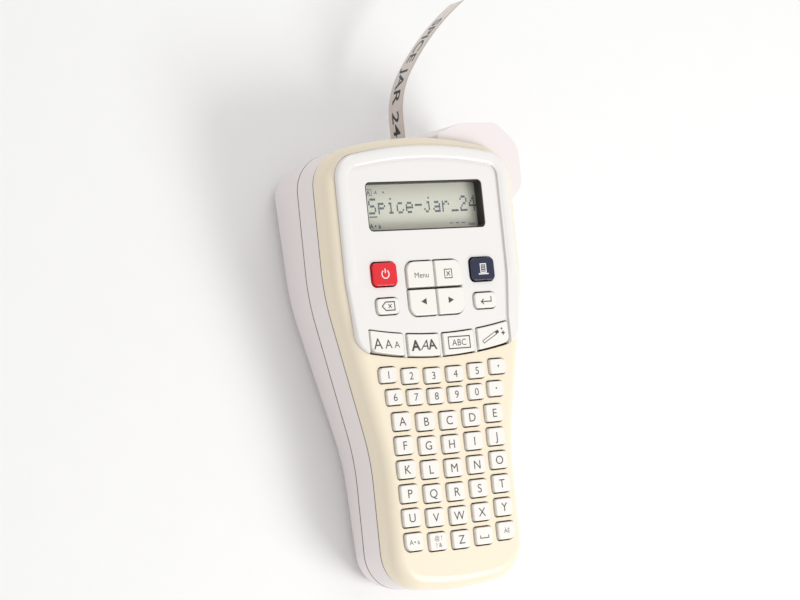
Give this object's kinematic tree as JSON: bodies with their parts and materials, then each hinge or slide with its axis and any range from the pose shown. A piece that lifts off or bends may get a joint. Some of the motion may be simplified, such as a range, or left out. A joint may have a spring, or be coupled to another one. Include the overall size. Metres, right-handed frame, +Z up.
{
  "type": "label maker",
  "caption": "Hand-held label maker with a display, letter keys, side cutter lever, lift-off back over tape cassette and cells, and a printed label leaving its top end.",
  "frame": {"origin": "on the rest plane, under the middle of the housing", "axes": "+Z up from the flat back, +Y towards the end where the label leaves, +X to the right seen from the keypad"},
  "size_m": [0.1142, 0.2781, 0.0591],
  "materials": {
    "cream_plastic": "satin",
    "white_plastic": "satin",
    "bezel_plastic": "gloss",
    "key_plastic": "satin",
    "red_plastic": "gloss",
    "navy_plastic": "gloss",
    "dark_frame": "matte",
    "clear_lens": "clear",
    "lcd_face": "satin",
    "mat_rubber": "matte",
    "board_green": "satin",
    "steel": "brushed",
    "gear_plastic": "satin",
    "brass": "satin",
    "aluminium": "satin",
    "ceramic": "satin",
    "cable_film": "gloss",
    "cassette_plastic": "satin",
    "spool_plastic": "satin",
    "label_film": "satin",
    "cell_wrap": "gloss"
  },
  "bodies": {
    "rear_cover": {"rear_cover": "white_plastic"},
    "housing": {"front_cover": "cream_plastic", "mid_housing": "white_plastic", "display_bezel": "bezel_plastic", "lcd_frame": "dark_frame", "lcd_window": "clear_lens", "lcd_panel": "lcd_face", "keypad_mat": "mat_rubber", "main_board": "board_green", "gear_axle": "steel", "chassis_plate": "steel", "drive_motor": "steel", "roller_holder": "gear_plastic", "print_head": "ceramic", "heat_sink": "aluminium", "head_cable": "cable_film", "lever_pin": "steel", "lever_spring": "steel", "battery_contacts": "steel", "adapter_jack": "dark_frame", "jack_pin": "brass", "housing_screws": "steel", "chassis_screws": "steel"},
    "number_row_1": {"number_row_1": "key_plastic"},
    "number_row_2": {"number_row_2": "key_plastic"},
    "letter_row_1": {"letter_row_1": "key_plastic"},
    "letter_row_2": {"letter_row_2": "key_plastic"},
    "letter_row_3": {"letter_row_3": "key_plastic"},
    "letter_row_4": {"letter_row_4": "key_plastic"},
    "letter_row_5": {"letter_row_5": "key_plastic"},
    "letter_row_6": {"letter_row_6": "key_plastic"},
    "power_button": {"power_button": "red_plastic"},
    "print_button": {"print_button": "navy_plastic"},
    "backspace_button": {"backspace_button": "key_plastic"},
    "enter_button": {"enter_button": "key_plastic"},
    "menu_button": {"menu_button": "key_plastic"},
    "clear_button": {"clear_button": "key_plastic"},
    "left_arrow_button": {"left_arrow_button": "key_plastic"},
    "right_arrow_button": {"right_arrow_button": "key_plastic"},
    "size_key": {"size_key": "key_plastic"},
    "font_key": {"font_key": "key_plastic"},
    "frame_key": {"frame_key": "key_plastic"},
    "design_key": {"design_key": "key_plastic"},
    "lever": {"cutter_lever": "white_plastic", "cutter_blade": "steel"},
    "drive_gear": {"drive_gear": "gear_plastic"},
    "motor_rotor": {"motor_pinion": "brass", "motor_shaft": "steel"},
    "platen": {"platen_gear": "gear_plastic", "platen_shaft": "steel", "platen_roller": "mat_rubber"},
    "ribbon_drive": {"ribbon_gear": "gear_plastic"},
    "cassette": {"cassette_base": "cassette_plastic", "cassette_lid": "cassette_plastic", "label_tape": "label_film"},
    "battery_set": {"batteries": "cell_wrap"},
    "tape_spool": {"tape_spool": "spool_plastic", "tape_roll": "label_film"},
    "ribbon_supply": {"ribbon_supply_spool": "spool_plastic"},
    "ribbon_takeup": {"ribbon_takeup_spool": "spool_plastic"}
  },
  "joints": [
    {"name": "housing_lift", "type": "slide", "parent": "rear_cover", "child": "housing", "axis": [0, -0.0934, 0.9956], "range_m": [0, 0.07]},
    {"name": "number_row_1_press", "type": "slide", "parent": "housing", "child": "number_row_1", "axis": [0, 0.0934, -0.9956], "range_m": [0, 0.0008], "stiffness_N_per_m": 600, "springref_m": -0.0012},
    {"name": "number_row_2_press", "type": "slide", "parent": "housing", "child": "number_row_2", "axis": [0, 0.0934, -0.9956], "range_m": [0, 0.0008], "stiffness_N_per_m": 600, "springref_m": -0.0012},
    {"name": "letter_row_1_press", "type": "slide", "parent": "housing", "child": "letter_row_1", "axis": [0, 0.0934, -0.9956], "range_m": [0, 0.0008], "stiffness_N_per_m": 600, "springref_m": -0.0012},
    {"name": "letter_row_2_press", "type": "slide", "parent": "housing", "child": "letter_row_2", "axis": [0, 0.0934, -0.9956], "range_m": [0, 0.0008], "stiffness_N_per_m": 600, "springref_m": -0.0012},
    {"name": "letter_row_3_press", "type": "slide", "parent": "housing", "child": "letter_row_3", "axis": [0, 0.0934, -0.9956], "range_m": [0, 0.0008], "stiffness_N_per_m": 600, "springref_m": -0.0012},
    {"name": "letter_row_4_press", "type": "slide", "parent": "housing", "child": "letter_row_4", "axis": [0, 0.0934, -0.9956], "range_m": [0, 0.0008], "stiffness_N_per_m": 600, "springref_m": -0.0012},
    {"name": "letter_row_5_press", "type": "slide", "parent": "housing", "child": "letter_row_5", "axis": [0, 0.0934, -0.9956], "range_m": [0, 0.0008], "stiffness_N_per_m": 600, "springref_m": -0.0012},
    {"name": "letter_row_6_press", "type": "slide", "parent": "housing", "child": "letter_row_6", "axis": [0, 0.0934, -0.9956], "range_m": [0, 0.0008], "stiffness_N_per_m": 600, "springref_m": -0.0012},
    {"name": "power_button_press", "type": "slide", "parent": "housing", "child": "power_button", "axis": [0, 0.0934, -0.9956], "range_m": [0, 0.0008], "stiffness_N_per_m": 600, "springref_m": -0.0012},
    {"name": "print_button_press", "type": "slide", "parent": "housing", "child": "print_button", "axis": [0, 0.0934, -0.9956], "range_m": [0, 0.0008], "stiffness_N_per_m": 600, "springref_m": -0.0012},
    {"name": "backspace_button_press", "type": "slide", "parent": "housing", "child": "backspace_button", "axis": [0, 0.0934, -0.9956], "range_m": [0, 0.0008], "stiffness_N_per_m": 600, "springref_m": -0.0012},
    {"name": "enter_button_press", "type": "slide", "parent": "housing", "child": "enter_button", "axis": [0, 0.0934, -0.9956], "range_m": [0, 0.0008], "stiffness_N_per_m": 600, "springref_m": -0.0012},
    {"name": "menu_button_press", "type": "slide", "parent": "housing", "child": "menu_button", "axis": [0, 0.0934, -0.9956], "range_m": [0, 0.0008], "stiffness_N_per_m": 600, "springref_m": -0.0012},
    {"name": "clear_button_press", "type": "slide", "parent": "housing", "child": "clear_button", "axis": [0, 0.0934, -0.9956], "range_m": [0, 0.0008], "stiffness_N_per_m": 600, "springref_m": -0.0012},
    {"name": "left_arrow_button_press", "type": "slide", "parent": "housing", "child": "left_arrow_button", "axis": [0, 0.0934, -0.9956], "range_m": [0, 0.0008], "stiffness_N_per_m": 600, "springref_m": -0.0012},
    {"name": "right_arrow_button_press", "type": "slide", "parent": "housing", "child": "right_arrow_button", "axis": [0, 0.0934, -0.9956], "range_m": [0, 0.0008], "stiffness_N_per_m": 600, "springref_m": -0.0012},
    {"name": "size_key_press", "type": "slide", "parent": "housing", "child": "size_key", "axis": [0, 0.0934, -0.9956], "range_m": [0, 0.0008], "stiffness_N_per_m": 600, "springref_m": -0.0012},
    {"name": "font_key_press", "type": "slide", "parent": "housing", "child": "font_key", "axis": [0, 0.0934, -0.9956], "range_m": [0, 0.0008], "stiffness_N_per_m": 600, "springref_m": -0.0012},
    {"name": "frame_key_press", "type": "slide", "parent": "housing", "child": "frame_key", "axis": [0, 0.0934, -0.9956], "range_m": [0, 0.0008], "stiffness_N_per_m": 600, "springref_m": -0.0012},
    {"name": "design_key_press", "type": "slide", "parent": "housing", "child": "design_key", "axis": [0, 0.0934, -0.9956], "range_m": [0, 0.0008], "stiffness_N_per_m": 600, "springref_m": -0.0012},
    {"name": "lever_swing", "type": "hinge", "parent": "housing", "child": "lever", "pos_m": [0.0465, 0.07634, 0.03747], "axis": [0, -0.0934, 0.9956], "range_deg": [0, 6], "stiffness_Nm_per_rad": 0.8, "springref_deg": -5.73},
    {"name": "drive_gear_spin", "type": "hinge", "parent": "housing", "child": "drive_gear", "pos_m": [0.01824, 0.05816, 0.03526], "axis": [0, -0.0934, 0.9956], "continuous": true},
    {"name": "motor_spin", "type": "hinge", "parent": "housing", "child": "motor_rotor", "pos_m": [0.034, 0.04851, 0.03435], "axis": [0, -0.0934, 0.9956], "continuous": true},
    {"name": "platen_spin", "type": "hinge", "parent": "housing", "child": "platen", "pos_m": [0.0153, 0.08037, 0.03734], "axis": [0, -0.0934, 0.9956], "continuous": true},
    {"name": "ribbon_drive_spin", "type": "hinge", "parent": "housing", "child": "ribbon_drive", "pos_m": [-0.00364, 0.05587, 0.03504], "axis": [0, -0.0934, 0.9956], "continuous": true},
    {"name": "cassette_lift_out", "type": "slide", "parent": "housing", "child": "cassette", "axis": [0, 0.0934, -0.9956], "range_m": [0, 0.036]},
    {"name": "battery_lift_out", "type": "slide", "parent": "housing", "child": "battery_set", "axis": [0, 0.0934, -0.9956], "range_m": [0, 0.029]},
    {"name": "tape_spool_spin", "type": "hinge", "parent": "cassette", "child": "tape_spool", "pos_m": [-0.0232, 0.03937, 0.02044], "axis": [0, -0.0934, 0.9956], "continuous": true},
    {"name": "ribbon_supply_spin", "type": "hinge", "parent": "cassette", "child": "ribbon_supply", "pos_m": [-0.028, 0.0781, 0.02407], "axis": [0, -0.0934, 0.9956], "continuous": true},
    {"name": "ribbon_takeup_spin", "type": "hinge", "parent": "cassette", "child": "ribbon_takeup", "pos_m": [-0.00364, 0.05709, 0.0221], "axis": [0, -0.0934, 0.9956], "continuous": true}
  ],
  "couplings": [
    {"joint": "motor_spin", "follows": "drive_gear_spin", "ratio": -2.7},
    {"joint": "platen_spin", "follows": "drive_gear_spin", "ratio": -1.5},
    {"joint": "ribbon_drive_spin", "follows": "drive_gear_spin", "ratio": -1.5882},
    {"joint": "ribbon_takeup_spin", "follows": "drive_gear_spin", "ratio": -1.5882},
    {"joint": "tape_spool_spin", "follows": "drive_gear_spin", "ratio": 0.42614},
    {"joint": "ribbon_supply_spin", "follows": "drive_gear_spin", "ratio": -0.71429},
    {"joint": "cassette_lift_out", "follows": "housing_lift", "ratio": 0.5},
    {"joint": "battery_lift_out", "follows": "housing_lift", "ratio": 0.4}
  ]
}
